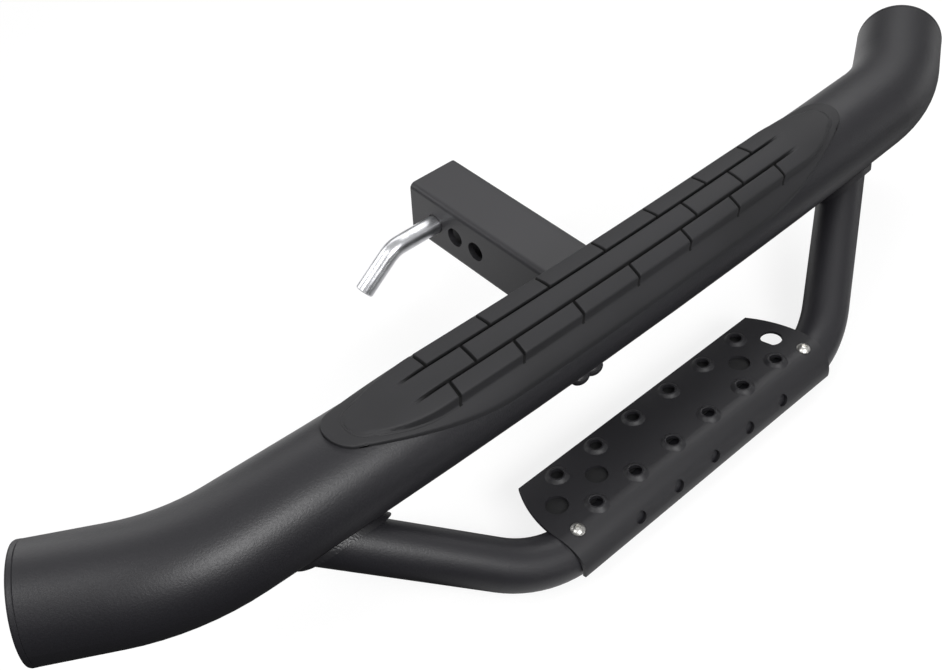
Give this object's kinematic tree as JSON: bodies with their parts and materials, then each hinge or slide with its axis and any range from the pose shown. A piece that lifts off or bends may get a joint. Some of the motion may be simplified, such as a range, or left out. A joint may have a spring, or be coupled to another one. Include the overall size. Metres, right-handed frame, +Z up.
{
  "type": "hitch receiver step",
  "caption": "Bowed round-tube step for a 2 inch hitch receiver, with a ribbed rubber tread pad, a lower grip plate on a bent drop tube, and a bent locking pin",
  "frame": {"origin": "centre of the locking pin's hole on the axis of the square shank", "axes": "+X along the cross tube, +Y along the shank into the receiver, +Z up"},
  "size_m": [0.9438, 0.3209, 0.1712],
  "materials": {
    "black_powder_coat": "fine textured black powder coat, satin",
    "satin_grey_coat": "smooth satin dark grey coat",
    "satin_black_plate": "satin black coat, lighter at the raised lips",
    "stainless_steel": "plain stainless, satin",
    "zinc_plate": "bright zinc plate",
    "black_rubber": "matte charcoal moulded rubber"
  },
  "bodies": {
    "step": {"main_tube": "black_powder_coat", "end_cap_left": "black_powder_coat", "end_cap_right": "black_powder_coat", "shank": "satin_grey_coat", "shank_weld": "black_powder_coat", "drop_frame": "black_powder_coat", "frame_weld_left": "black_powder_coat", "frame_weld_right": "black_powder_coat", "plate_support": "satin_black_plate", "support_weld_left": "black_powder_coat", "support_weld_right": "black_powder_coat", "step_plate": "satin_black_plate", "plate_screw_left": "stainless_steel", "plate_screw_right": "stainless_steel", "screw_insert_left": "zinc_plate", "screw_insert_right": "zinc_plate", "stitch_weld": "black_powder_coat", "tread_pad": "black_rubber"},
    "pin": {"hitch_pin": "zinc_plate"}
  },
  "joints": [
    {"name": "pin_slide", "type": "slide", "parent": "step", "child": "pin", "axis": [-1, 0, 0], "range_m": [0, 0.075]}
  ]
}
